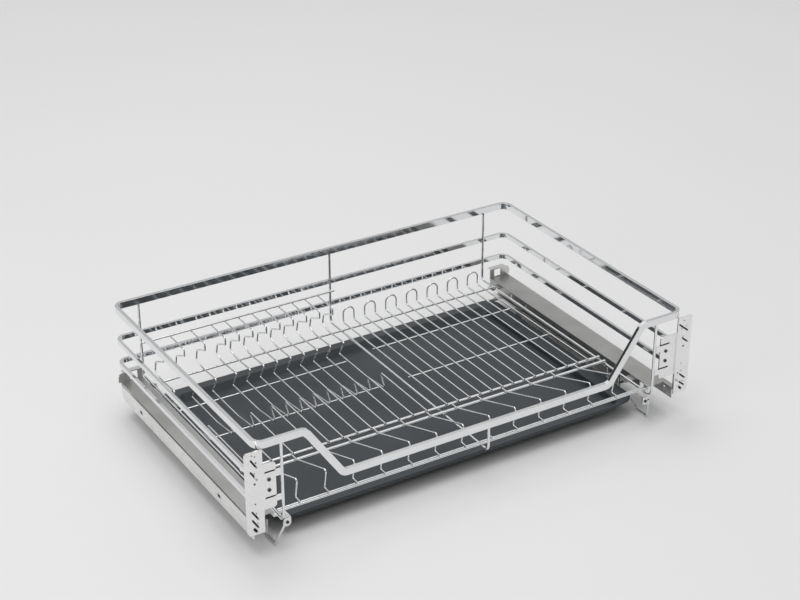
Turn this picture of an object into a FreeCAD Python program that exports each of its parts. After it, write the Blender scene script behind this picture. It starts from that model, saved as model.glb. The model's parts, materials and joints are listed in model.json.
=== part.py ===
import FreeCAD
import Part
import math
import os
from FreeCAD import Vector

os.makedirs("parts", exist_ok=True)

# Working frame while the shapes are built, in mm:
# X is centred, +X to the right. Y is 0 at the front face of the front bar, +Y to the back.
# Z is 0 at the underside of the runner channels. export() centres the overall box in Y
# and lifts the part so that the keels of the channels stand on Z 0.

# Overall sizes
RIM_WIDTH = 680.0
RIM_DEPTH = 445.0
RIM_TOP = 162.0
KEEL_DEPTH = 14.5

# Flat bar of the rim and of the front bar
BAR_HEIGHT = 10.0
BAR_THICK = 5.0
RIM_CORNER = 15.0
SEAM_X = RIM_WIDTH / 2 - RIM_CORNER

# The front bar dips in the middle
DIP_TOP = 82.7
DIP_UPPER_X = 268.0
DIP_LOWER_X = 214.0
DIP_BEND = 12.0

# Two rails below the rim
RAIL_HEIGHT = 7.0
RAIL_THICK = 4.0
UPPER_RAIL_TOP = 108.5
LOWER_RAIL_TOP = 70.8

# Wire radii
HOOP_R = 2.0
THICK_R = 2.5
CROSS_R = 1.5
RACK_R = 1.3
LEVER_R = 1.6

# Depth of a spot weld between two wires
WELD = 0.05

# Hoops that carry the basket floor
HOOP_BOTTOM_Z = 36.0
HOOP_BEND = 8.0
HOOP_LEFT_X = -302.0
HOOP_CENTRE_X = 12.0
HOOP_RIGHT_X = 293.0
HOOP_FRONT_Y = BAR_THICK / 2
HOOP_BACK_Y = RIM_DEPTH - RAIL_THICK - HOOP_R
HOOP_TOP = RIM_TOP - BAR_HEIGHT

# Cross wires resting on the hoops
HOOP_UPPER = HOOP_BOTTOM_Z + HOOP_R
REAR_WIRE_Y = RIM_DEPTH - 44.6
REAR_WIRE_Z = HOOP_UPPER + CROSS_R - WELD
THICK_WIRE_Z = HOOP_UPPER + THICK_R - WELD
THICK_WIRE_BACK_Y = 127.0
THICK_WIRE_FRONT_Y = 112.5
FRONT_WIRE_YS = (17.6, 21.8)

# Plate rack on the left
HANGER_Z = 90.8
HANGER_Y = HOOP_BACK_Y - HOOP_R - CROSS_R + WELD
HANGER_END_X = 17.5
PLATE_LAST_X = -10.5
PLATE_CLOSE_PITCH = 22.5
PLATE_CLOSE_COUNT = 8
PLATE_WIDE_PITCH = 33.0
PLATE_WIDE_COUNT = 4
PLATE_FLOOR_Z = 18.0
PLATE_BEND = 3.0

# Side profile of a plate rack wire: the hook at the back, set out from the hanger wire
PLATE_END_Y = HANGER_Y + 1.0
PLATE_HOOK_Y = HANGER_Y - 44.5
PLATE_HOOK_Z = 77.0
PLATE_KNEE_Y = HANGER_Y - 15.5
PLATE_KNEE_Z = 64.0
PLATE_HEEL_Y = HANGER_Y - 11.5
PLATE_HEEL_Z = 48.0

# Its middle, set out from the rear wire
PLATE_SOLE_Y = REAR_WIRE_Y + 7.6
PLATE_REST_Y = REAR_WIRE_Y - 8.4
PLATE_NECK_Y = REAR_WIRE_Y - 45.4
PLATE_FLOOR_BACK_Y = REAR_WIRE_Y - 24.9
PLATE_LOWER_BACK_Y = REAR_WIRE_Y - 50.4
PLATE_NECK_RISE = 0.2

# Its front, set out from the thick cross wire
PLATE_FLOOR_FRONT_Y = THICK_WIRE_BACK_Y + 163.0
PLATE_NOSE_Y = THICK_WIRE_BACK_Y + 111.0
PLATE_NOSE_Z = 24.0
PLATE_LIP_Y = THICK_WIRE_BACK_Y + 125.0
WIRE_START_Y = THICK_WIRE_BACK_Y - 4.0
PLATE_LOWER_OVER = 2.5

# Bowl rack on the right
BOWL_FIRST_X = 23.1
BOWL_PITCH = 19.0
BOWL_ARCHES = 7
BOWL_UPRIGHT_Y = REAR_WIRE_Y + 18.6
BOWL_ARCH_TOP = 67.0
BOWL_BEND = 5.0
BOWL_LOWER_YS = (REAR_WIRE_Y - 76.9, REAR_WIRE_Y - 177.9)
BOWL_LOWER_OVER = 4.0

# Front rack
FRONT_FIRST_X = -269.5
FRONT_PITCH = 42.7
FRONT_COUNT = 13
FRONT_TAIL_Y = THICK_WIRE_FRONT_Y + 7.5
FRONT_ROOT_Y = THICK_WIRE_FRONT_Y - 4.5
FRONT_TIP_Y = 25.4
FRONT_TIP_Z = 73.0
FRONT_HEEL_Y = 31.0
FRONT_TOE_Y = 16.0

# Sheet steel of the runners and brackets
SHEET = 1.5
PLATE_SHEET = 2.0

# Runner section, distances from the centre plane
FLANGE_OUT_X = 341.0
FLANGE_TOP = 34.8
FLANGE_BOTTOM = 12.5
FLANGE_CORNER = 14.0
CHANNEL_OUT_X = 333.0
CHANNEL_IN_X = 310.5
CHANNEL_LIP_TOP = 12.0
KEEL_OUT_X = 315.5
COVER_TOP = 37.0
COVER_OUT_X = 339.2
COVER_IN_X = 305.5
FOLD_BOTTOM = 25.0
MIDDLE_IN_X = 314.0
MIDDLE_OUT_X = 329.5
MIDDLE_BOTTOM = 5.0
MIDDLE_TOP = 31.0
GLIDE_GAP = 0.1

# Runner lengths
CABINET_FRONT = 13.0
CHANNEL_FRONT = 100.0
CABINET_BACK = RIM_DEPTH - 15.0
COVER_FRONT = 24.0
FOLD_FRONT = 45.0
COVER_BACK = RIM_DEPTH - 11.0
MIDDLE_FRONT = CHANNEL_FRONT
MIDDLE_BACK = CABINET_BACK - 5.0

# Glide pads on the middle member
GLIDE_LENGTH = 45.0
GLIDE_HIGH_YS = (MIDDLE_FRONT + 5.0, MIDDLE_FRONT + 70.0)
GLIDE_LOW_YS = (MIDDLE_BACK - 120.0, MIDDLE_BACK - 50.0)

# Slots and front hole of the screw flange
SLOT_R = 2.5
SLOT_LENGTH = 9.0
SLOT_DROP = 0.4
SLOT_YS = (112.0, CABINET_BACK - 68.0)
FLANGE_HOLE_Y = 29.7
FLANGE_HOLE_Z = 24.6
FLANGE_HOLE_R = 1.8

# Rod between the two fixed channels
TIE_ROD_Y = CABINET_BACK - 9.0
TIE_ROD_Z = 3.5
TIE_ROD_R = 2.5

# Tabs and notches of the cover
HOOP_TAB_YS = (COVER_FRONT + 38.0, COVER_BACK - 26.0)
HOOP_TAB_LENGTH = 14.0
HOOP_TAB_REACH = 5.0
COVER_TAB_TOP = 56.0
NOTCH_PITCH = 40.0
NOTCH_LENGTH = 7.0

# Upstand at the back of the cover
UPSTAND_TOP = 52.0
UPSTAND_OUT_X = 343.0
UPSTAND_LIP_BACK = RIM_DEPTH - 2.0
UPSTAND_FOOT = 4.0
WINDOW_IN_X = 313.5
WINDOW_OUT_X = 325.5
WINDOW_LOW = 38.0
WINDOW_HIGH = 50.5

# Drip tray
TRAY_HALF_WIDTH = 295.8
TRAY_FRONT = 38.5
TRAY_BACK = RIM_DEPTH - 32.0
TRAY_RIM_Z = 12.5
TRAY_WALL = 2.0
TRAY_BOTTOM = 1.0
TRAY_CORNER = 22.0
PAN_CORNER = 10.0
PAN_SIDE = 25.0
PAN_SIDE_DRAFT = 1.0
PAN_NOSE = 1.5
PAN_NOSE_DRAFT = 5.0
PAN_BACK = 13.5
PAN_BACK_DRAFT = 8.0

# Straps under the hoops that carry the tray
STRAP_YS = (118.0, TRAY_BACK - 73.0)
STRAP_WIDTH = 14.0
STRAP_GAP = 1.5
STRAP_REACH = 8.0

# Front fixing plates
PLATE_IN_X = 330.5
PLATE_OUT_X = 355.5
PLATE_TOP = RIM_TOP - BAR_HEIGHT
PLATE_BOTTOM = 29.0
PLATE_FRONT = -1.0
PLATE_BACK = PLATE_FRONT + PLATE_SHEET

# Slanted slots of the plates: two ends (x, z) and radius; x counts outward
LEFT_SLOTS = (
    ((346.8, 140.6), (339.1, 128.1), 1.25),
    ((347.6, 123.4), (339.2, 110.3), 1.25),
    ((347.8, 64.7), (339.7, 52.0), 1.25),
    ((347.7, 51.8), (339.9, 39.2), 1.25),
    ((345.6, 38.2), (342.8, 34.1), 1.9),
)
RIGHT_SLOTS = (
    ((333.4, 141.0), (348.3, 128.6), 1.2),
    ((333.4, 123.4), (349.6, 110.1), 1.2),
    ((333.4, 64.9), (349.2, 51.0), 1.2),
    ((333.4, 52.0), (348.8, 39.1), 1.2),
    ((337.9, 39.8), (343.9, 34.5), 1.7),
)

# Round holes of the plates: centre (x, z) and radius; the first is the panel screw
PANEL_HOLE = (342.5, 104.8, 1.6)
LEFT_HOLES = (
    PANEL_HOLE,
    (345.1, 147.1, 1.0),
    (341.0, 144.7, 1.0),
    (339.9, 135.3, 1.2),
    (342.5, 120.3, 1.0),
    (343.0, 75.1, 1.0),
    (342.0, 60.9, 1.0),
    (340.7, 45.8, 1.0),
)
RIGHT_HOLES = (
    PANEL_HOLE,
    (341.4, 145.8, 1.0),
    (337.4, 133.9, 1.0),
    (345.8, 135.7, 1.0),
    (341.0, 120.9, 1.0),
    (341.4, 76.3, 1.0),
    (342.1, 64.3, 1.0),
    (345.6, 46.2, 1.0),
)

# Adjusting brackets between the plates and the hoops
BRACKET_OUT_X = 341.0
BRACKET_LOW = 61.0
BRACKET_HIGH = 127.5
BRACKET_EDGE = 9.5
BRACKET_ARMS = ((105.5, 115.0), (68.5, 76.5))
SLIT_ZS = (114.2, 76.2)
SLIT_HEIGHT = 2.3
SLIT_LENGTH = 16.0
SCREW_R = 1.6
SCREW_ZS = (103.9, 88.3)
SCREW_IN = 10.0

# Release levers: bracket, eye plate and wire loop; x counts outward
PIVOT_X = 291.7
PIVOT_Z = 21.8
PIVOT_R = 1.7
PIVOT_BORE = 1.1
PIVOT_GAP = 0.1
EYE_FRONT = 12.9
EYE_BACK = 14.1
EYE_OUTLINE = (
    (286.4, 28.6),
    (286.4, 19.6),
    (289.0, 16.4),
    (292.2, 15.5),
    (295.8, 17.0),
    (297.2, 19.5),
    (297.2, 26.0),
    (295.0, 28.6),
)
LUG_SHEET = 1.2
LUG_FRONT = EYE_BACK + PIVOT_GAP
LUG_SHELF_BACK = 34.0
LUG_TOP = 29.0
LUG_IN_X = 286.4
LUG_OUT_X = 300.5
LUG_OUTLINE = (
    (LUG_IN_X, LUG_TOP),
    (LUG_IN_X, 19.6),
    (289.0, 16.4),
    (292.2, 15.6),
    (295.5, 17.6),
    (295.5, LUG_TOP),
)
RIVET_HEAD_R = 2.3
RIVET_HEAD = 0.8
LEVER_BEND = 3.0
LEVER_POINTS = (
    (296.9, 12.5, 23.0),
    (296.9, 12.5, 18.0),
    (305.1, 22.8, -11.9),
    (305.6, 46.7, -11.5),
    (299.3, 57.0, 3.0),
)

Y_SHIFT = -(PLATE_FRONT + RIM_DEPTH) / 2


def export(name, shape):
    """Write one node, moved into the centred frame."""
    moved = shape.copy()
    moved.translate(Vector(0, Y_SHIFT, KEEL_DEPTH))
    moved.exportStep("parts/" + name + ".step")


def block(x0, x1, y0, y1, z0, z1):
    """Box between two corners given in any order."""
    low = Vector(min(x0, x1), min(y0, y1), min(z0, z1))
    return Part.makeBox(abs(x1 - x0), abs(y1 - y0), abs(z1 - z0), low)


def rounded_path(points, bend):
    """Wire through the points, with an arc of radius bend at each inner point."""
    corners = [Vector(*p) for p in points]
    edges = []
    start = corners[0]
    for before, corner, after in zip(corners, corners[1:], corners[2:]):
        back = (before - corner).normalize()
        ahead = (after - corner).normalize()
        half = back.getAngle(ahead) / 2
        if abs(half - math.pi / 2) < 1e-3:
            continue
        setback = bend / math.tan(half)
        arc_start = corner + back * setback
        arc_end = corner + ahead * setback
        middle_way = (back + ahead).normalize()
        arc_middle = corner + middle_way * (bend / math.sin(half) - bend)
        if (arc_start - start).Length > 1e-4:
            edges.append(Part.LineSegment(start, arc_start).toShape())
        edges.append(Part.Arc(arc_start, arc_middle, arc_end).toShape())
        start = arc_end
    edges.append(Part.LineSegment(start, corners[-1]).toShape())
    return Part.Wire(edges)


def rod(points, radius, bend):
    """Round wire bent along the points."""
    path = rounded_path(points, bend)
    first = Vector(*points[0])
    way = Vector(*points[1]) - first
    ring = Part.Wire([Part.makeCircle(radius, first, way)])
    return path.makePipeShell([ring], True, False)


def straight_rod(start, end, radius):
    """Straight round wire between two points."""
    first = Vector(*start)
    way = Vector(*end) - first
    return Part.makeCylinder(radius, way.Length, first, way)


def rounded_sheet(x0, x1, y0, y1, corner, z):
    """Flat wire of a rectangle with round corners, at height z."""
    pi = math.pi
    centres = ((x1 - corner, y0 + corner, -pi / 2), (x1 - corner, y1 - corner, 0.0))
    centres += ((x0 + corner, y1 - corner, pi / 2), (x0 + corner, y0 + corner, pi))
    edges = []
    last = None
    first = None
    for cx, cy, angle in centres:
        points = []
        for step in (0.0, pi / 4, pi / 2):
            px = cx + corner * math.cos(angle + step)
            py = cy + corner * math.sin(angle + step)
            points.append(Vector(px, py, z))
        if last is not None:
            edges.append(Part.LineSegment(last, points[0]).toShape())
        if first is None:
            first = points[0]
        edges.append(Part.Arc(points[0], points[1], points[2]).toShape())
        last = points[2]
    edges.append(Part.LineSegment(last, first).toShape())
    return Part.Wire(edges)


def rounded_slab(x0, x1, y0, y1, z0, z1, corner):
    """Slab with round vertical corners."""
    face = Part.Face(rounded_sheet(x0, x1, y0, y1, corner, z0))
    return face.extrude(Vector(0, 0, z1 - z0))


def section_bar(points, y0, y1):
    """Solid with a section given as (x, z) points, running from y0 to y1."""
    corners = [Vector(x, y0, z) for x, z in points]
    face = Part.Face(Part.makePolygon(corners + [corners[0]]))
    return face.extrude(Vector(0, y1 - y0, 0))


def round_hole(x, z, radius, y0, y1):
    """Cutter for a round hole along Y."""
    return Part.makeCylinder(radius, y1 - y0, Vector(x, y0, z), Vector(0, 1, 0))


def slot_hole(start, end, radius, y0, y1):
    """Cutter for a slot along Y between two (x, z) centres."""
    way = Vector(end[0] - start[0], 0, end[1] - start[1])
    side = Vector(-way.z, 0, way.x).normalize() * radius
    a = Vector(start[0], y0, start[1])
    b = Vector(end[0], y0, end[1])
    outline = Part.makePolygon([a + side, b + side, b - side, a - side, a + side])
    body = Part.Face(outline).extrude(Vector(0, y1 - y0, 0))
    caps = [round_hole(x, z, radius, y0, y1) for x, z in (start, end)]
    return body.multiFuse(caps)


def top_rim():
    """Flat bar ring, open at the front between the two seams."""
    half = RIM_WIDTH / 2
    low = RIM_TOP - BAR_HEIGHT
    t = BAR_THICK
    outside = rounded_slab(-half, half, 0, RIM_DEPTH, low, RIM_TOP, RIM_CORNER)
    inside = rounded_slab(-half + t, half - t, t, RIM_DEPTH - t, low - 1, RIM_TOP + 1, RIM_CORNER - t)
    front = block(-SEAM_X, SEAM_X, -1, t + 1, low - 1, RIM_TOP + 1)
    return outside.cut(inside).cut(front)


def front_bar():
    """Front flat bar with a long dip for access to the racks."""
    level = RIM_TOP - BAR_HEIGHT / 2
    dip = DIP_TOP - BAR_HEIGHT / 2
    y = BAR_THICK / 2
    points = [(-SEAM_X, y, level), (-DIP_UPPER_X, y, level), (-DIP_LOWER_X, y, dip)]
    points += [(DIP_LOWER_X, y, dip), (DIP_UPPER_X, y, level), (SEAM_X, y, level)]
    path = rounded_path(points, DIP_BEND)
    low = RIM_TOP - BAR_HEIGHT
    corners = [Vector(-SEAM_X, 0, low), Vector(-SEAM_X, BAR_THICK, low)]
    corners += [Vector(-SEAM_X, BAR_THICK, RIM_TOP), Vector(-SEAM_X, 0, RIM_TOP)]
    profile = Part.makePolygon(corners + [corners[0]])
    return path.makePipeShell([profile], True, False)


def side_rail(top):
    """Thin flat bar round the left, back and right, open at the front."""
    half = RIM_WIDTH / 2
    low = top - RAIL_HEIGHT
    t = RAIL_THICK
    outside = rounded_slab(-half, half, -40, RIM_DEPTH, low, top, RIM_CORNER)
    inside = rounded_slab(-half + t, half - t, -60, RIM_DEPTH - t, low - 1, top + 1, RIM_CORNER - t)
    front = block(-half - 1, half + 1, -70, bracket_back(), low - 1, top + 1)
    return outside.cut(inside).cut(front)


def hoop(x, front_top):
    """U of thick wire from the front bar, under the floor, up to the rim."""
    points = [(x, HOOP_FRONT_Y, front_top), (x, HOOP_FRONT_Y, HOOP_BOTTOM_Z)]
    points += [(x, HOOP_BACK_Y, HOOP_BOTTOM_Z), (x, HOOP_BACK_Y, HOOP_TOP)]
    return rod(points, HOOP_R, HOOP_BEND)


def cross_wire(y, z, radius, x0=HOOP_LEFT_X, x1=HOOP_RIGHT_X):
    """Straight wire along X."""
    return straight_rod((x0, y, z), (x1, y, z), radius)


def plate_wire_points(x):
    """Side profile of one plate rack wire."""
    hang = HANGER_Z - CROSS_R - RACK_R + WELD
    on_rear = REAR_WIRE_Z + CROSS_R + RACK_R - WELD
    on_thick = THICK_WIRE_Z + THICK_R + RACK_R - WELD
    tip = on_thick + PLATE_NECK_RISE
    points = [(x, PLATE_END_Y, hang), (x, PLATE_HOOK_Y, hang), (x, PLATE_HOOK_Y, PLATE_HOOK_Z)]
    points += [(x, PLATE_KNEE_Y, PLATE_KNEE_Z), (x, PLATE_HEEL_Y, PLATE_HEEL_Z)]
    points += [(x, PLATE_SOLE_Y, on_rear), (x, PLATE_REST_Y, on_rear), (x, PLATE_NECK_Y, tip)]
    points += [(x, PLATE_FLOOR_BACK_Y, PLATE_FLOOR_Z), (x, PLATE_FLOOR_FRONT_Y, PLATE_FLOOR_Z)]
    points += [(x, PLATE_NOSE_Y, PLATE_NOSE_Z), (x, PLATE_LIP_Y, tip), (x, WIRE_START_Y, on_thick)]
    return points


def plate_wire(x):
    return rod(plate_wire_points(x), RACK_R, PLATE_BEND)


def plate_close_xs():
    return [PLATE_LAST_X - PLATE_CLOSE_PITCH * i for i in range(PLATE_CLOSE_COUNT)]


def plate_wide_xs():
    nearest = min(plate_close_xs()) - PLATE_CLOSE_PITCH
    return [nearest - PLATE_WIDE_PITCH * i for i in range(PLATE_WIDE_COUNT)]


def plate_lower_wires():
    """Two wires that tie the plate rack wires together below."""
    drop = RACK_R + CROSS_R - WELD
    left = min(plate_wide_xs()) - PLATE_LOWER_OVER
    right = PLATE_LAST_X + PLATE_LOWER_OVER
    back_z = PLATE_FLOOR_Z - drop
    slope = math.atan2(PLATE_NOSE_Z - PLATE_FLOOR_Z, PLATE_FLOOR_FRONT_Y - PLATE_NOSE_Y)
    on_slope = PLATE_FLOOR_Z + (PLATE_FLOOR_FRONT_Y - PLATE_LIP_Y) * math.tan(slope)
    front_y = PLATE_LIP_Y - drop * math.sin(slope)
    front_z = on_slope - drop * math.cos(slope)
    back = cross_wire(PLATE_LOWER_BACK_Y, back_z, CROSS_R, left, right)
    front = cross_wire(front_y, front_z, CROSS_R, left, right)
    return Part.makeCompound([back, front])


def bowl_arch(x):
    """Two floor wires of the bowl rack joined by an arch at the back."""
    on_rear = REAR_WIRE_Z + CROSS_R + RACK_R - WELD
    on_thick = THICK_WIRE_Z + THICK_R + RACK_R - WELD
    radius = BOWL_PITCH / 2
    spring = BOWL_ARCH_TOP - radius - RACK_R
    y = BOWL_UPRIGHT_Y
    left = [Vector(x, WIRE_START_Y, on_thick), Vector(x, REAR_WIRE_Y, on_rear)]
    left += [Vector(x, y, on_rear), Vector(x, y, spring)]
    path_left = rounded_path([tuple(p) for p in left], BOWL_BEND)
    crown = Vector(x + radius, y, spring + radius)
    right = [Vector(p.x + BOWL_PITCH, p.y, p.z) for p in reversed(left)]
    arch = Part.Arc(left[-1], crown, right[0]).toShape()
    path_right = rounded_path([tuple(p) for p in right], BOWL_BEND)
    edges = list(path_left.Edges) + [arch] + list(path_right.Edges)
    path = Part.Wire(edges)
    ring = Part.Wire([Part.makeCircle(RACK_R, left[0], left[1] - left[0])])
    return path.makePipeShell([ring], True, False)


def bowl_xs():
    return [BOWL_FIRST_X + 2 * BOWL_PITCH * i for i in range(BOWL_ARCHES)]


def bowl_lower_wires():
    """Two wires that tie the bowl rack wires together below."""
    on_rear = REAR_WIRE_Z + CROSS_R + RACK_R - WELD
    on_thick = THICK_WIRE_Z + THICK_R + RACK_R - WELD
    drop = RACK_R + CROSS_R - WELD
    left = BOWL_FIRST_X - BOWL_LOWER_OVER
    right = BOWL_FIRST_X + BOWL_PITCH * (2 * BOWL_ARCHES - 1) + BOWL_LOWER_OVER
    wires = []
    for y in BOWL_LOWER_YS:
        part = (REAR_WIRE_Y - y) / (REAR_WIRE_Y - WIRE_START_Y)
        z = on_rear + (on_thick - on_rear) * part - drop
        wires.append(cross_wire(y, z, CROSS_R, left, right))
    return Part.makeCompound(wires)


def front_rack_wire(x):
    """Sloping support wire with a hooked front end."""
    on_thick = THICK_WIRE_Z + THICK_R + RACK_R - WELD
    on_front = HOOP_UPPER + 2 * CROSS_R + RACK_R - 2 * WELD
    points = [(x, FRONT_TAIL_Y, on_thick), (x, FRONT_ROOT_Y, on_thick), (x, FRONT_TIP_Y, FRONT_TIP_Z)]
    points += [(x, FRONT_HEEL_Y, on_front), (x, FRONT_TOE_Y, on_front)]
    return rod(points, RACK_R, PLATE_BEND)


def front_rack_xs():
    return [FRONT_FIRST_X + FRONT_PITCH * i for i in range(FRONT_COUNT)]


def cabinet_profile(side):
    """Fixed channel on its keel, with the long screw flange, left (-1) or right (+1)."""
    t = SHEET
    points = [(FLANGE_OUT_X, FLANGE_TOP), (FLANGE_OUT_X, FLANGE_BOTTOM)]
    points += [(CHANNEL_OUT_X, FLANGE_BOTTOM), (CHANNEL_OUT_X, 0), (KEEL_OUT_X, 0)]
    points += [(KEEL_OUT_X, -KEEL_DEPTH), (CHANNEL_IN_X, -KEEL_DEPTH)]
    points += [(CHANNEL_IN_X, CHANNEL_LIP_TOP), (CHANNEL_IN_X + t, CHANNEL_LIP_TOP)]
    points += [(CHANNEL_IN_X + t, t - KEEL_DEPTH), (KEEL_OUT_X - t, t - KEEL_DEPTH)]
    points += [(KEEL_OUT_X - t, t), (CHANNEL_OUT_X - t, t)]
    points += [(CHANNEL_OUT_X - t, FLANGE_BOTTOM + t), (FLANGE_OUT_X - t, FLANGE_BOTTOM + t)]
    points += [(FLANGE_OUT_X - t, FLANGE_TOP)]
    channel = section_bar([(side * x, z) for x, z in points], CHANNEL_FRONT, CABINET_BACK)
    inner = side * (FLANGE_OUT_X - t)
    outer = side * FLANGE_OUT_X
    flange = block(inner, outer, CABINET_FRONT, CHANNEL_FRONT, FLANGE_BOTTOM, FLANGE_TOP)
    body = channel.fuse(flange).cut(rounding_cutter(side))
    z = (FLANGE_TOP + FLANGE_BOTTOM) / 2 - SLOT_DROP
    for y in SLOT_YS:
        body = body.cut(flange_slot(side, y, z))
    hole_start = Vector(min(inner, outer) - 1, FLANGE_HOLE_Y, FLANGE_HOLE_Z)
    body = body.cut(Part.makeCylinder(FLANGE_HOLE_R, t + 2, hole_start, Vector(1, 0, 0)))
    return body.removeSplitter()


def rounding_cutter(side):
    """Removes the square lower back corner of the screw flange."""
    r = FLANGE_CORNER
    x0 = side * (CHANNEL_OUT_X + 0.2)
    x1 = side * (FLANGE_OUT_X + 1)
    piece = block(x0, x1, CABINET_BACK - r, CABINET_BACK + 1, FLANGE_BOTTOM - 1, FLANGE_BOTTOM + r)
    start = Vector(min(x0, x1), CABINET_BACK - r, FLANGE_BOTTOM + r)
    pin = Part.makeCylinder(r, abs(x1 - x0), start, Vector(1, 0, 0))
    return piece.cut(pin)


def flange_slot(side, y, z):
    """Cutter for one slot along Y through the screw flange."""
    x0 = side * (FLANGE_OUT_X + 1)
    x1 = side * (FLANGE_OUT_X - SHEET - 1)
    reach = SLOT_LENGTH / 2 - SLOT_R
    body = block(x0, x1, y - reach, y + reach, z - SLOT_R, z + SLOT_R)
    low_x = min(x0, x1)
    wide = abs(x1 - x0)
    caps = []
    for end in (y - reach, y + reach):
        caps.append(Part.makeCylinder(SLOT_R, wide, Vector(low_x, end, z), Vector(1, 0, 0)))
    return body.multiFuse(caps)


def rear_tie_rod():
    """Rod that holds the two fixed channels parallel behind the tray."""
    x = CHANNEL_IN_X
    return straight_rod((-x, TIE_ROD_Y, TIE_ROD_Z), (x, TIE_ROD_Y, TIE_ROD_Z), TIE_ROD_R)


def middle_member(side):
    """Telescopic middle section, a rectangular steel tube."""
    t = SHEET
    outer = block(side * MIDDLE_IN_X, side * MIDDLE_OUT_X, MIDDLE_FRONT, MIDDLE_BACK, MIDDLE_BOTTOM, MIDDLE_TOP)
    x0 = side * (MIDDLE_IN_X + t)
    x1 = side * (MIDDLE_OUT_X - t)
    inner = block(x0, x1, MIDDLE_FRONT - 1, MIDDLE_BACK + 1, MIDDLE_BOTTOM + t, MIDDLE_TOP - t)
    return outer.cut(inner)


def glide_pads(side):
    """Four plastic pads that the telescopic section runs on."""
    x0 = side * (MIDDLE_IN_X + 1)
    x1 = side * (MIDDLE_OUT_X - 1)
    low = SHEET + GLIDE_GAP
    high = COVER_TOP - SHEET - GLIDE_GAP
    pads = []
    for start in GLIDE_LOW_YS:
        pads.append(block(x0, x1, start, start + GLIDE_LENGTH, low, MIDDLE_BOTTOM))
    for start in GLIDE_HIGH_YS:
        pads.append(block(x0, x1, start, start + GLIDE_LENGTH, MIDDLE_TOP, high))
    return Part.makeCompound(pads)


def drawer_profile(side):
    """Moving cover of the runner, with its tabs for the hoop and the front plate."""
    t = SHEET
    low = COVER_TOP - t
    web = block(side * COVER_IN_X, side * COVER_OUT_X, COVER_FRONT, COVER_BACK, low, COVER_TOP)
    fold = block(side * COVER_IN_X, side * (COVER_IN_X + t), FOLD_FRONT, COVER_BACK, FOLD_BOTTOM, low)
    parts = [fold]
    tongue_in = side * (PLATE_IN_X + 0.5)
    back = PLATE_BACK + t
    parts.append(block(tongue_in, side * COVER_OUT_X, PLATE_BACK, COVER_FRONT, low, COVER_TOP))
    parts.append(block(tongue_in, side * COVER_OUT_X, PLATE_BACK, back, COVER_TOP, COVER_TAB_TOP))
    tab_in = hoop_x(side) - side * HOOP_TAB_REACH
    tab_out = side * (COVER_IN_X + t / 2)
    tab_top = HOOP_BOTTOM_Z - HOOP_R
    reach = HOOP_TAB_LENGTH / 2
    for y in HOOP_TAB_YS:
        parts.append(block(tab_in, tab_out, y - reach, y + reach, tab_top - t, tab_top))
    body = web.multiFuse(parts)
    for y in notch_ys():
        x0 = side * (COVER_IN_X - 1)
        x1 = side * (COVER_IN_X + t)
        half = NOTCH_LENGTH / 2
        body = body.cut(block(x0, x1, y - half, y + half, FOLD_BOTTOM - 1, low - t))
    return body.removeSplitter()


def notch_ys():
    """Places of the notches in the fold of the cover, clear of its tabs."""
    room = (HOOP_TAB_LENGTH + NOTCH_LENGTH) / 2
    places = []
    y = COVER_BACK - NOTCH_PITCH / 2
    while y > FOLD_FRONT + NOTCH_LENGTH:
        if min(abs(y - tab) for tab in HOOP_TAB_YS) > room:
            places.append(y)
        y -= NOTCH_PITCH
    return places


def hoop_x(side):
    """Place of the left (-1) or right (+1) hoop."""
    return HOOP_LEFT_X if side < 0 else HOOP_RIGHT_X


def tray_straps(side):
    """Two straps welded under the outer hoop that carry the edge of the drip tray."""
    t = SHEET
    wire = abs(hoop_x(side))
    stem_in = TRAY_HALF_WIDTH + STRAP_GAP
    stem_out = stem_in + t
    rest = TRAY_RIM_Z - TRAY_WALL
    top = HOOP_BOTTOM_Z - HOOP_R + WELD
    head_in = min(stem_in, wire - HOOP_R)
    head_out = max(stem_out, wire + HOOP_R)
    straps = []
    for y in STRAP_YS:
        y0 = y - STRAP_WIDTH / 2
        y1 = y + STRAP_WIDTH / 2
        stem = block(side * stem_in, side * stem_out, y0, y1, rest - t, top)
        foot = block(side * (TRAY_HALF_WIDTH - STRAP_REACH), side * stem_out, y0, y1, rest - t, rest)
        head = block(side * head_in, side * head_out, y0, y1, top - t, top)
        straps.append(stem.multiFuse([foot, head]).removeSplitter())
    return Part.makeCompound(straps)


def rear_upstand(side):
    """Back plate of the moving section, with a lip and a window."""
    t = SHEET
    y0 = COVER_BACK
    y1 = COVER_BACK + t
    top = UPSTAND_TOP
    out = UPSTAND_OUT_X
    outline = [(COVER_IN_X, COVER_TOP - UPSTAND_FOOT), (COVER_OUT_X, COVER_TOP - UPSTAND_FOOT)]
    outline += [(COVER_OUT_X, COVER_TOP), (out, COVER_TOP), (out, top - 5 * t)]
    outline += [(out - t, top - 2 * t), (out - 2 * t, top - t), (out - 5 * t, top), (COVER_IN_X, top)]
    upper = section_bar([(side * x, z) for x, z in outline], y0, y1)
    lip = block(side * (COVER_IN_X + t), side * (out - 5 * t), y1, UPSTAND_LIP_BACK, top - t, top)
    window = block(side * WINDOW_IN_X, side * WINDOW_OUT_X, y0 - 1, y1 + 1, WINDOW_LOW, WINDOW_HIGH)
    return upper.fuse(lip).cut(window).removeSplitter()


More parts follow.
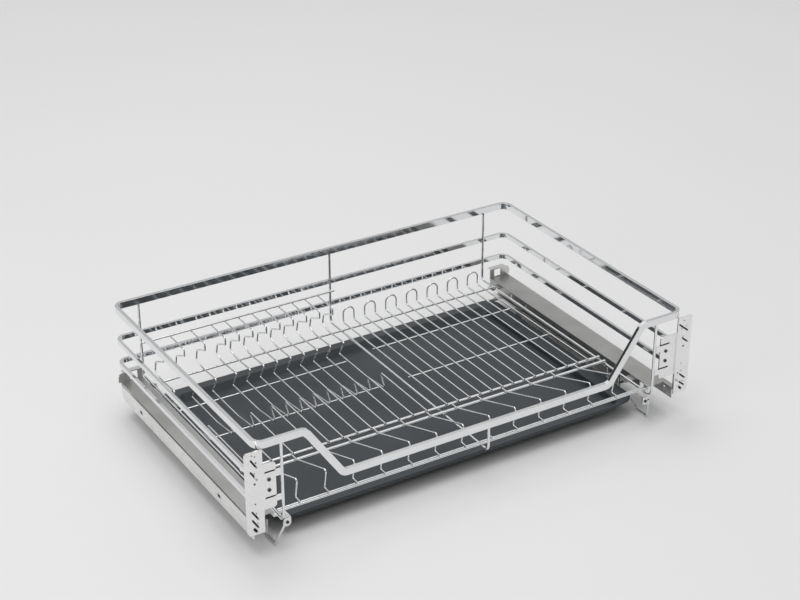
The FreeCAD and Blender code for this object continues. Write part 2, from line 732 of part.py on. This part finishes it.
def fixing_plate(side):
    """Front plate with its slots, on the left (-1) or right (+1)."""
    outline = [(PLATE_IN_X, PLATE_TOP), (PLATE_IN_X, PLATE_BOTTOM)]
    outline += [(PLATE_OUT_X - 3.0, PLATE_BOTTOM), (PLATE_OUT_X, PLATE_BOTTOM + 6.0)]
    outline += [(PLATE_OUT_X, PLATE_TOP - 2.0), (PLATE_OUT_X - 2.0, PLATE_TOP)]
    body = section_bar([(side * x, z) for x, z in outline], PLATE_FRONT, PLATE_BACK)
    y0 = PLATE_FRONT - 1
    y1 = PLATE_BACK + 1
    slots = LEFT_SLOTS if side < 0 else RIGHT_SLOTS
    holes = LEFT_HOLES if side < 0 else RIGHT_HOLES
    for start, end, r in slots:
        cutter = slot_hole((side * start[0], start[1]), (side * end[0], end[1]), r, y0, y1)
        body = body.cut(cutter)
    for x, z, r in holes:
        body = body.cut(round_hole(side * x, z, r, y0, y1))
    return body


def bracket_back():
    return PLATE_BACK + PLATE_SHEET


def adjusting_bracket(side):
    """Slit plate between the fixing plate and the hoop."""
    edge = hoop_x(side) + side * BRACKET_EDGE
    y0 = PLATE_BACK
    y1 = bracket_back()
    touch = hoop_x(side) + side * (HOOP_R - 2 * WELD)
    body = block(edge, side * BRACKET_OUT_X, y0, y1, BRACKET_LOW, BRACKET_HIGH)
    body = body.multiFuse([block(touch, edge, y0, y1, low, high) for low, high in BRACKET_ARMS])
    slit_end = edge + side * SLIT_LENGTH
    for z in SLIT_ZS:
        body = body.cut(block(edge - side * 1, slit_end, y0 - 1, y1 + 1, z, z + SLIT_HEIGHT))
    round_z = BRACKET_HIGH - 4.0
    corner = block(edge - side * 1, edge + side * 4.0, y0 - 1, y1 + 1, round_z, BRACKET_HIGH + 1)
    corner = corner.cut(round_hole(edge + side * 4.0, round_z, 4.0, y0 - 1, y1 + 1))
    body = body.cut(corner)
    foot = BRACKET_LOW - 1
    chamfer = [(edge, foot), (edge, foot + 3.5), (edge + side * 3.5, foot)]
    body = body.cut(section_bar(chamfer, y0 - 1, y1 + 1))
    for z in SCREW_ZS:
        body = body.cut(round_hole(edge + side * SCREW_IN, z, SCREW_R, y0 - 1, y1 + 1))
    return body.removeSplitter()


def adjusting_screws():
    """Four cross-head screws in the two adjusting brackets."""
    screws = []
    for side in (-1, 1):
        x = hoop_x(side) + side * (BRACKET_EDGE + SCREW_IN)
        for z in SCREW_ZS:
            shank = Part.makeCylinder(SCREW_R, PLATE_SHEET + 3.0, Vector(x, PLATE_BACK, z), Vector(0, 1, 0))
            head = Part.makeCylinder(2.6, 0.9, Vector(x, PLATE_BACK - 0.9, z), Vector(0, 1, 0))
            nut = Part.makeCylinder(3.2, 2.0, Vector(x, bracket_back(), z), Vector(0, 1, 0))
            screw = head.multiFuse([shank, nut])
            for wide, tall in ((3.4, 0.8), (0.8, 3.4)):
                low = PLATE_BACK - 2
                cross = block(x - wide / 2, x + wide / 2, low, PLATE_BACK + 0.6, z - tall / 2, z + tall / 2)
                screw = screw.cut(cross)
            screws.append(screw)
    return Part.makeCompound(screws)


def lever_lug(side):
    """Bent plate with a window, welded to the cover, that carries the lever pivot."""
    t = LUG_SHEET
    low = LUG_TOP - t
    body = section_bar([(side * x, z) for x, z in LUG_OUTLINE], LUG_FRONT, LUG_FRONT + t)
    shelf = block(side * LUG_IN_X, side * LUG_OUT_X, LUG_FRONT, LUG_SHELF_BACK, low, LUG_TOP)
    wing_in = side * LUG_OUT_X
    wing = block(wing_in, side * COVER_IN_X, COVER_FRONT, LUG_SHELF_BACK, low, LUG_TOP)
    riser_in = side * (COVER_IN_X - t)
    riser = block(riser_in, side * COVER_IN_X, COVER_FRONT, LUG_SHELF_BACK, low, COVER_TOP)
    body = body.multiFuse([shelf, wing, riser])
    x0 = side * (LUG_IN_X + 3 * t)
    x1 = side * (LUG_OUT_X - 2 * t)
    window = block(x0, x1, LUG_FRONT + 3 * t, LUG_SHELF_BACK - 5 * t, low - 1, LUG_TOP + 1)
    bore = round_hole(side * PIVOT_X, PIVOT_Z, PIVOT_R, LUG_FRONT - 1, LUG_FRONT + t + 1)
    return body.cut(window).cut(bore).removeSplitter()


def lever_rivets():
    """Hollow rivets that the two levers turn on."""
    front = EYE_FRONT - PIVOT_GAP - RIVET_HEAD
    back = LUG_FRONT + LUG_SHEET
    rivets = []
    for side in (-1, 1):
        x = side * PIVOT_X
        shank = round_hole(x, PIVOT_Z, PIVOT_R, front, back + RIVET_HEAD)
        head = round_hole(x, PIVOT_Z, RIVET_HEAD_R, front, front + RIVET_HEAD)
        tail = round_hole(x, PIVOT_Z, RIVET_HEAD_R, back, back + RIVET_HEAD)
        bore = round_hole(x, PIVOT_Z, PIVOT_BORE, front - 1, back + RIVET_HEAD + 1)
        rivets.append(shank.multiFuse([head, tail]).cut(bore).removeSplitter())
    return Part.makeCompound(rivets)


def release_lever(side):
    """Wire loop that hangs below the runner, with an eye plate that turns on the rivet."""
    wire = rod([(side * x, y, z) for x, y, z in LEVER_POINTS], LEVER_R, LEVER_BEND)
    eye = section_bar([(side * x, z) for x, z in EYE_OUTLINE], EYE_FRONT, EYE_BACK)
    bore = round_hole(side * PIVOT_X, PIVOT_Z, PIVOT_R + PIVOT_GAP, EYE_FRONT - 1, EYE_BACK + 1)
    return wire.fuse(eye).cut(bore).removeSplitter()


def pan(z0, z1, draft0, draft1, skin):
    """Tapered block of the pan; draft runs from 0 at the rim to 1 at the floor."""
    wires = []
    for z, draft in ((z0, draft0), (z1, draft1)):
        x = TRAY_HALF_WIDTH - PAN_SIDE - PAN_SIDE_DRAFT * draft - skin
        y0 = TRAY_FRONT + PAN_NOSE + PAN_NOSE_DRAFT * draft + skin
        y1 = TRAY_BACK - PAN_BACK - PAN_BACK_DRAFT * draft - skin
        wires.append(rounded_sheet(-x, x, y0, y1, PAN_CORNER, z))
    return Part.makeLoft(wires, True, True)


def drip_tray():
    """Shallow moulded tray with wide side flanges and a flush front."""
    x = TRAY_HALF_WIDTH
    t = TRAY_WALL
    flange_low = TRAY_RIM_Z - t
    flange = rounded_slab(-x, x, TRAY_FRONT, TRAY_BACK, flange_low, TRAY_RIM_Z, TRAY_CORNER)
    outer = pan(TRAY_BOTTOM, flange_low, 1.0, 0.0, 0.0)
    inner = pan(TRAY_BOTTOM + t, TRAY_RIM_Z + 0.01, 1.0, 0.0, t)
    return flange.fuse(outer).cut(inner).removeSplitter()


def build():
    export("top_rim", top_rim())
    export("front_bar", front_bar())
    export("upper_rail", side_rail(UPPER_RAIL_TOP))
    export("lower_rail", side_rail(LOWER_RAIL_TOP))
    export("hoop_left", hoop(HOOP_LEFT_X, HOOP_TOP))
    export("hoop_centre", hoop(HOOP_CENTRE_X, DIP_TOP - BAR_HEIGHT))
    export("hoop_right", hoop(HOOP_RIGHT_X, HOOP_TOP))
    export("rear_cross_wire", cross_wire(REAR_WIRE_Y, REAR_WIRE_Z, CROSS_R))
    export("thick_cross_wire_back", cross_wire(THICK_WIRE_BACK_Y, THICK_WIRE_Z, THICK_R))
    export("thick_cross_wire_front", cross_wire(THICK_WIRE_FRONT_Y, THICK_WIRE_Z, THICK_R))
    front_wires = [cross_wire(y, REAR_WIRE_Z, CROSS_R) for y in FRONT_WIRE_YS]
    export("front_cross_wires", Part.makeCompound(front_wires))
    export("plate_hanger_wire", cross_wire(HANGER_Y, HANGER_Z, CROSS_R, HOOP_LEFT_X, HANGER_END_X))
    export("plate_rack_wide_wires", Part.makeCompound([plate_wire(x) for x in plate_wide_xs()]))
    export("plate_rack_close_wires", Part.makeCompound([plate_wire(x) for x in plate_close_xs()]))
    export("plate_rack_lower_wires", plate_lower_wires())
    export("bowl_rack_arches", Part.makeCompound([bowl_arch(x) for x in bowl_xs()]))
    export("bowl_rack_lower_wires", bowl_lower_wires())
    export("front_rack_wires", Part.makeCompound([front_rack_wire(x) for x in front_rack_xs()]))
    export("rear_tie_rod", rear_tie_rod())
    export("adjusting_screws", adjusting_screws())
    export("lever_rivets", lever_rivets())
    export("drip_tray", drip_tray())
    for side, word in ((-1, "left"), (1, "right")):
        export("cabinet_profile_" + word, cabinet_profile(side))
        export("middle_member_" + word, middle_member(side))
        export("glide_pads_" + word, glide_pads(side))
        export("drawer_profile_" + word, drawer_profile(side))
        export("tray_straps_" + word, tray_straps(side))
        export("rear_upstand_" + word, rear_upstand(side))
        export("fixing_plate_" + word, fixing_plate(side))
        export("adjusting_bracket_" + word, adjusting_bracket(side))
        export("lever_lug_" + word, lever_lug(side))
        export("release_lever_" + word, release_lever(side))


build()
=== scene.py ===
import json
import math

import bmesh
import bpy
from mathutils import Matrix, Vector

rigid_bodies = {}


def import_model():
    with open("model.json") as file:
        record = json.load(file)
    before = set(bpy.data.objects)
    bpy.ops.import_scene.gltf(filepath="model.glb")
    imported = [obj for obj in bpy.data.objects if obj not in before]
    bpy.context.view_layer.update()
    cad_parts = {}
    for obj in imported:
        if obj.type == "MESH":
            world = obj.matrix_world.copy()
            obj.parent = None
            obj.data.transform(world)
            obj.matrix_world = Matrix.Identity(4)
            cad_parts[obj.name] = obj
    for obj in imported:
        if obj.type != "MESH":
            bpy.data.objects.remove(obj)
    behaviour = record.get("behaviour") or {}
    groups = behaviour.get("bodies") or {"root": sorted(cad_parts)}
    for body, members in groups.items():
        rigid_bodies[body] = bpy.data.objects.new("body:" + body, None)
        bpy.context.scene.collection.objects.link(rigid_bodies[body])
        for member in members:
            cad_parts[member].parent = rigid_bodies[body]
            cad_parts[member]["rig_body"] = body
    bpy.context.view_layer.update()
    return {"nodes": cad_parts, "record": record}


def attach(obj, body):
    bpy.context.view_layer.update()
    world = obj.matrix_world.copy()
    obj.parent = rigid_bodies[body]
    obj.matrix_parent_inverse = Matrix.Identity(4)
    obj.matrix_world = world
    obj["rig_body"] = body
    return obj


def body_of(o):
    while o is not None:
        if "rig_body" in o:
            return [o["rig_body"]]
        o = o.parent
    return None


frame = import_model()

NODES = frame["nodes"]

# Camera fitted to the photograph: degrees, millimetres and metres
AZIMUTH = math.radians(-31.267)
ELEVATION = math.radians(27.277)
ROLL = math.radians(-0.195)
LENS = 79.56
SENSOR = 36.0
CAMERA_PLACE = (-1.1497, -1.9029, 1.3339)
CLIP_END = 60.0

# Surroundings in metres. Each level is (height, grey), where height is the sine of the
# angle above the horizon. Beyond BACKDROP_START along BACKDROP_WAY the room starts to give
# way to the backdrop, and at BACKDROP_END only the backdrop is left.
BACKDROP_WAY = (0.519, 0.855, 0.0)
BACKDROP_START = 0.40
BACKDROP_END = 0.65
BACKDROP_LEVELS = (
    (0.0, 0.66), (0.25, 0.60), (0.38, 0.54), (0.50, 0.54), (0.60, 0.88), (1.0, 0.88),
)
ROOM_LEVELS = (
    (0.0, 0.45), (0.07, 0.14), (0.18, 0.04), (0.46, 0.05), (0.58, 0.80), (1.0, 0.88),
)
FLOOR_SIZE = 30.0
FLOOR_DARK = (0.78, 0.78, 0.78)
FLOOR_LIGHT = (0.80, 0.80, 0.80)

# Shared by the looks: the middle range of the noise, and the fineness of rounded edges
NOISE_LOW = 0.3
NOISE_HIGH = 0.7
BEVEL_SAMPLES = 4
CHROME_SHADE = 0.95

# Painted shade: dark strips behind the slots and slits of the plates and brackets, in the part's
# working millimetres: x counted outward, y back, z up
Y_SHIFT = -222.0
Z_SHIFT = 14.5
PLATE_BACK_Y = 1.05
BRACKET_BACK_Y = 3.1
SHADE_STRIP_THICK = 0.4
SHADE_STRIP_CORNER = 1.0
CORNER_STEPS = 4
PLATE_SHADE_STRIP = (
    (331.5, 149.5), (350.5, 149.5), (350.5, 31.5), (341.4, 31.5), (341.4, 128.0), (331.5, 128.0),
)
BRACKET_SHADE_STRIP = (
    (331.5, 127.0), (341.2, 127.0), (341.2, 31.5), (339.8, 31.5), (339.8, 37.6), (331.5, 37.6),
)
SIDES = ((-1, "left", 311.5), (1, "right", 302.5))
SLITS = (("upper", 114.2), ("lower", 76.2))
SLIT_IN = 0.4
SLIT_OUT = 17.5
SLIT_UNDER = 1.5
SLIT_OVER = 3.8


def new_material(name):
    """Empty node material with its output and one principled shader."""
    mat = bpy.data.materials.new(name)
    mat.use_nodes = True
    tree = mat.node_tree
    tree.nodes.clear()
    out = tree.nodes.new("ShaderNodeOutputMaterial")
    shader = tree.nodes.new("ShaderNodeBsdfPrincipled")
    tree.links.new(shader.outputs["BSDF"], out.inputs["Surface"])
    return mat, tree, shader


def coords(tree, scale=(1.0, 1.0, 1.0)):
    """Object coordinates in metres, stretched by scale."""
    source = tree.nodes.new("ShaderNodeTexCoord")
    mapping = tree.nodes.new("ShaderNodeMapping")
    mapping.inputs["Scale"].default_value = scale
    tree.links.new(source.outputs["Object"], mapping.inputs["Vector"])
    return mapping.outputs["Vector"]


def noise(tree, vector, scale, detail=3.0, rough=0.5):
    """Value of a noise pattern along vector."""
    node = tree.nodes.new("ShaderNodeTexNoise")
    node.inputs["Scale"].default_value = scale
    node.inputs["Detail"].default_value = detail
    node.inputs["Roughness"].default_value = rough
    tree.links.new(vector, node.inputs["Vector"])
    return node.outputs["Fac"]


def remap(tree, value, low, high, start=NOISE_LOW, end=NOISE_HIGH):
    """Value between start and end becomes low to high."""
    node = tree.nodes.new("ShaderNodeMapRange")
    node.inputs["From Min"].default_value = start
    node.inputs["From Max"].default_value = end
    node.inputs["To Min"].default_value = low
    node.inputs["To Max"].default_value = high
    tree.links.new(value, node.inputs["Value"])
    return node.outputs["Result"]


def ramp(tree, value, stops):
    """Colours along value, as (position, (r, g, b)) pairs in rising order."""
    node = tree.nodes.new("ShaderNodeValToRGB")
    elements = node.color_ramp.elements
    for element, (position, colour) in zip((elements[0], elements[1]), (stops[0], stops[-1])):
        element.position = position
        element.color = (*colour, 1.0)
    for position, colour in stops[1:-1]:
        elements.new(position).color = (*colour, 1.0)
    tree.links.new(value, node.inputs["Fac"])
    return node.outputs["Color"]


def two_tone(tree, value, dark, light):
    """Colour from dark to light over the middle range of the noise."""
    return ramp(tree, value, ((NOISE_LOW, dark), (NOISE_HIGH, light)))


def bump(tree, shader, height, strength, distance, bevel=0.0):
    """Bump on top of softly rounded edges."""
    node = tree.nodes.new("ShaderNodeBump")
    node.inputs["Strength"].default_value = strength
    node.inputs["Distance"].default_value = distance
    tree.links.new(height, node.inputs["Height"])
    if bevel > 0.0:
        edge = tree.nodes.new("ShaderNodeBevel")
        edge.samples = BEVEL_SAMPLES
        edge.inputs["Radius"].default_value = bevel
        tree.links.new(edge.outputs["Normal"], node.inputs["Normal"])
    tree.links.new(node.outputs["Normal"], shader.inputs["Normal"])


def chrome(name, tone, bevel):
    """Bright plating: faint cloudiness, fine polish marks, soft edges."""
    mat, tree, shader = new_material(name)
    vector = coords(tree)
    cloud = noise(tree, vector, scale=38.0)
    marks = noise(tree, vector, scale=2600.0, detail=2.0)
    dark = tuple(c * CHROME_SHADE for c in tone)
    tree.links.new(two_tone(tree, cloud, dark, tone), shader.inputs["Base Color"])
    tree.links.new(remap(tree, cloud, low=0.04, high=0.09), shader.inputs["Roughness"])
    shader.inputs["Metallic"].default_value = 1.0
    bump(tree, shader, marks, strength=0.015, distance=0.0002, bevel=bevel)
    return mat


def zinc(name, dark, light, rough):
    """Satin plated sheet: drawn lines along the length and soft clouds."""
    mat, tree, shader = new_material(name)
    cloud = noise(tree, coords(tree), scale=22.0, detail=4.0)
    lines = noise(tree, coords(tree, (60.0, 1.0, 60.0)), scale=18.0, detail=2.0)
    tree.links.new(two_tone(tree, cloud, dark, light), shader.inputs["Base Color"])
    tree.links.new(remap(tree, lines, rough - 0.05, rough + 0.08), shader.inputs["Roughness"])
    shader.inputs["Metallic"].default_value = 0.95
    bump(tree, shader, lines, strength=0.02, distance=0.0003, bevel=0.0003)
    return mat


def paint(name, dark, light, rough):
    """Metallic coat: fine orange peel and a slight change of tone."""
    mat, tree, shader = new_material(name)
    cloud = noise(tree, coords(tree), scale=16.0)
    peel = noise(tree, coords(tree), scale=2400.0, detail=2.0)
    tree.links.new(two_tone(tree, cloud, dark, light), shader.inputs["Base Color"])
    tree.links.new(remap(tree, peel, rough - 0.05, rough + 0.06), shader.inputs["Roughness"])
    shader.inputs["Metallic"].default_value = 0.9
    bump(tree, shader, peel, strength=0.025, distance=0.0002, bevel=0.0003)
    return mat


def plastic(name, dark, light, rough, grain):
    """Moulded plastic with a fine grain."""
    mat, tree, shader = new_material(name)
    cloud = noise(tree, coords(tree), scale=7.0, detail=4.0)
    skin = noise(tree, coords(tree), scale=grain, detail=3.0, rough=0.6)
    tree.links.new(two_tone(tree, cloud, dark, light), shader.inputs["Base Color"])
    tree.links.new(remap(tree, skin, rough - 0.06, rough + 0.08), shader.inputs["Roughness"])
    bump(tree, shader, skin, strength=0.25, distance=0.0003, bevel=0.0006)
    return mat


MATERIALS = {
    "bar_chrome": chrome("bar_chrome_look", (0.86, 0.87, 0.88), bevel=0.0007),
    "wire_chrome": chrome("wire_chrome_look", (0.84, 0.85, 0.86), bevel=0.0),
    "zinc_sheet": zinc(
        "zinc_sheet_look", (0.62, 0.62, 0.61), (0.76, 0.76, 0.75), rough=0.32),
    # Darker copy of the zinc: painted shade
    "cover_zinc_painted_shade": zinc(
        "cover_zinc_painted_shade_look", (0.40, 0.40, 0.39), (0.48, 0.48, 0.47), rough=0.34),
    # Brighter copy of the zinc: painted light
    "flange_zinc_painted_light": zinc(
        "flange_zinc_painted_light_look", (0.78, 0.78, 0.77), (0.86, 0.86, 0.85), rough=0.28),
    "plate_paint": paint(
        "plate_paint_look", (0.88, 0.88, 0.88), (0.94, 0.94, 0.94), rough=0.28),
    "screw_steel": zinc(
        "screw_steel_look", (0.10, 0.10, 0.10), (0.18, 0.18, 0.18), rough=0.34),
    "glide_plastic": plastic(
        "glide_plastic_look", (0.66, 0.66, 0.64), (0.76, 0.76, 0.74), rough=0.45, grain=700.0),
    "tray_plastic": plastic(
        "tray_plastic_look", (0.034, 0.042, 0.048), (0.046, 0.054, 0.061), rough=0.36,
        grain=1100.0),
    # Near-black look of the strips that paint shade behind the slots and slits
    "painted_shade_strip": plastic(
        "painted_shade_strip_look", (0.012, 0.012, 0.012), (0.020, 0.020, 0.020), rough=0.60, grain=900.0),
}

# Nodes given a darker or a brighter copy of the zinc: painted shade on the drawer profiles,
# painted light on the cabinet profiles
NODE_LOOKS = {
    "drawer_profile_left": "cover_zinc_painted_shade",
    "drawer_profile_right": "cover_zinc_painted_shade",
    "cabinet_profile_left": "flange_zinc_painted_light",
    "cabinet_profile_right": "flange_zinc_painted_light",
}


def dress_parts():
    """Gives each part the look of its material slot, or the look of its own node."""
    for part in frame["record"]["subparts"]:
        obj = NODES[part["node"]]
        look = MATERIALS[NODE_LOOKS.get(part["node"], part["material_slot"])]
        if not obj.material_slots:
            obj.data.materials.append(look)
        for place in obj.material_slots:
            place.material = look


def shifted(x, y, z):
    """Point of the part's working millimetres in the row frame."""
    return Vector((x / 1000, (y + Y_SHIFT) / 1000, (z + Z_SHIFT) / 1000))


def rounded_outline(corners, radius):
    """Outline with each corner cut by a short arc; corners run one way round."""
    points = []
    count = len(corners)
    for i, corner in enumerate(corners):
        here = Vector(corner)
        before = (Vector(corners[i - 1]) - here).normalized() * radius
        after = (Vector(corners[(i + 1) % count]) - here).normalized() * radius
        for step in range(CORNER_STEPS + 1):
            t = step / CORNER_STEPS
            points.append(here + before * (1 - t) ** 2 + after * t ** 2)
    return points


def painted_shade_backing(name, side, corners, front_y, body):
    """Thin dark strip behind an opening, painted shade seen through it; corners are (x, z), with
    x counted outward.
    """
    mesh = bmesh.new()
    outline = rounded_outline([(side * x, z) for x, z in corners], SHADE_STRIP_CORNER)
    front = [mesh.verts.new(shifted(p.x, front_y, p.y)) for p in outline]
    back = [mesh.verts.new(shifted(p.x, front_y + SHADE_STRIP_THICK, p.y)) for p in outline]
    mesh.faces.new(front)
    mesh.faces.new(back)
    for i in range(len(outline)):
        mesh.faces.new((front[i - 1], front[i], back[i], back[i - 1]))
    bmesh.ops.recalc_face_normals(mesh, faces=mesh.faces)
    data = bpy.data.meshes.new(name)
    mesh.to_mesh(data)
    mesh.free()
    painted_shade_strip = bpy.data.objects.new(name, data)
    bpy.context.scene.collection.objects.link(painted_shade_strip)
    painted_shade_strip.data.materials.append(MATERIALS["painted_shade_strip"])
    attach(painted_shade_strip, body)


def build_painted_shade_backings():
    """Painted shade: dark strips behind the slotted plates and behind the slits of the brackets.
    """
    body = body_of(NODES["fixing_plate_left"])[0]
    for side, label, edge in SIDES:
        painted_shade_backing("plate_shade_backing_" + label, side, PLATE_SHADE_STRIP, PLATE_BACK_Y, body)
        painted_shade_backing("bracket_shade_backing_" + label, side, BRACKET_SHADE_STRIP, BRACKET_BACK_Y, body)
        inner = edge + SLIT_IN
        outer = edge + SLIT_OUT
        for row, slit_z in SLITS:
            low = slit_z - SLIT_UNDER
            high = slit_z + SLIT_OVER
            corners = ((inner, low), (outer, low), (outer, high), (inner, high))
            painted_shade_backing("slit_shade_backing_" + row + "_" + label, side, corners, BRACKET_BACK_Y, body)


def build_floor():
    """Pale seamless floor, wide enough for every view."""
    bpy.ops.mesh.primitive_plane_add(size=FLOOR_SIZE, location=(0.0, 0.0, 0.0))
    floor = bpy.context.object
    floor.name = "studio_floor"
    mat, tree, shader = new_material("studio_floor_look")
    cloud = noise(tree, coords(tree), scale=0.7, detail=2.0)
    tree.links.new(two_tone(tree, cloud, FLOOR_DARK, FLOOR_LIGHT), shader.inputs["Base Color"])
    tree.links.new(remap(tree, cloud, low=0.55, high=0.65), shader.inputs["Roughness"])
    floor.data.materials.append(mat)


def grey_ramp(tree, value, levels):
    """Grey along value, as (position, level) pairs from 0 to 1."""
    return ramp(tree, value, [(position, (level, level, level)) for position, level in levels])


def build_world():
    """Studio round the object: pale backdrop behind it, a darker room on the other sides."""
    world = bpy.data.worlds.new("studio_world")
    bpy.context.scene.world = world
    world.use_nodes = True
    tree = world.node_tree
    tree.nodes.clear()
    out = tree.nodes.new("ShaderNodeOutputWorld")
    back = tree.nodes.new("ShaderNodeBackground")
    source = tree.nodes.new("ShaderNodeTexCoord")
    split = tree.nodes.new("ShaderNodeSeparateXYZ")
    tree.links.new(source.outputs["Generated"], split.inputs["Vector"])
    behind = grey_ramp(tree, split.outputs["Z"], BACKDROP_LEVELS)
    ahead = grey_ramp(tree, split.outputs["Z"], ROOM_LEVELS)
    depth = tree.nodes.new("ShaderNodeVectorMath")
    depth.operation = "DOT_PRODUCT"
    depth.inputs[1].default_value = BACKDROP_WAY
    tree.links.new(source.outputs["Generated"], depth.inputs[0])
    share = remap(tree, depth.outputs["Value"], 0.0, 1.0, BACKDROP_START, BACKDROP_END)
    mix = tree.nodes.new("ShaderNodeMix")
    mix.data_type = "RGBA"
    tree.links.new(share, mix.inputs["Factor"])
    # The node's colour sockets: inputs 6 and 7, output 2
    tree.links.new(ahead, mix.inputs[6])
    tree.links.new(behind, mix.inputs[7])
    tree.links.new(mix.outputs[2], back.inputs["Color"])
    back.inputs["Strength"].default_value = 1.0
    tree.links.new(back.outputs["Background"], out.inputs["Surface"])


def area_light(name, place, target, size, power):
    """Rectangular lamp at place, turned toward target; metres and watts."""
    data = bpy.data.lights.new(name, "AREA")
    data.shape = "RECTANGLE"
    data.size, data.size_y = size
    data.energy = power
    lamp = bpy.data.objects.new(name, data)
    bpy.context.scene.collection.objects.link(lamp)
    lamp.location = place
    way = Vector(target) - Vector(place)
    lamp.rotation_euler = way.to_track_quat("-Z", "Y").to_euler()


def build_camera():
    """Camera at the photograph's viewing angle."""
    level = math.cos(ELEVATION)
    view = Vector((-math.sin(AZIMUTH) * level, math.cos(AZIMUTH) * level, -math.sin(ELEVATION)))
    flat_right = Vector((math.cos(AZIMUTH), math.sin(AZIMUTH), 0.0))
    flat_up = flat_right.cross(view)
    right = flat_right * math.cos(ROLL) + flat_up * math.sin(ROLL)
    up = flat_up * math.cos(ROLL) - flat_right * math.sin(ROLL)
    data = bpy.data.cameras.new("photo_camera")
    data.lens = LENS
    data.sensor_width = SENSOR
    data.clip_end = CLIP_END
    data.dof.use_dof = False
    camera = bpy.data.objects.new("photo_camera", data)
    bpy.context.scene.collection.objects.link(camera)
    turn = Matrix((right, up, -view)).transposed().to_4x4()
    camera.matrix_world = Matrix.Translation(CAMERA_PLACE) @ turn
    bpy.context.scene.camera = camera


dress_parts()
build_painted_shade_backings()
build_floor()
build_world()
area_light(
    "top_light", place=(-0.2, 0.6, 3.4), target=(0.0, 0.0, 0.0), size=(2.6, 2.0), power=36.0)
area_light(
    "left_light", place=(-2.4, -0.8, 1.6), target=(0.0, 0.0, 0.1), size=(1.2, 1.2), power=10.0)
build_camera()
bpy.context.scene.view_settings.view_transform = "Standard"
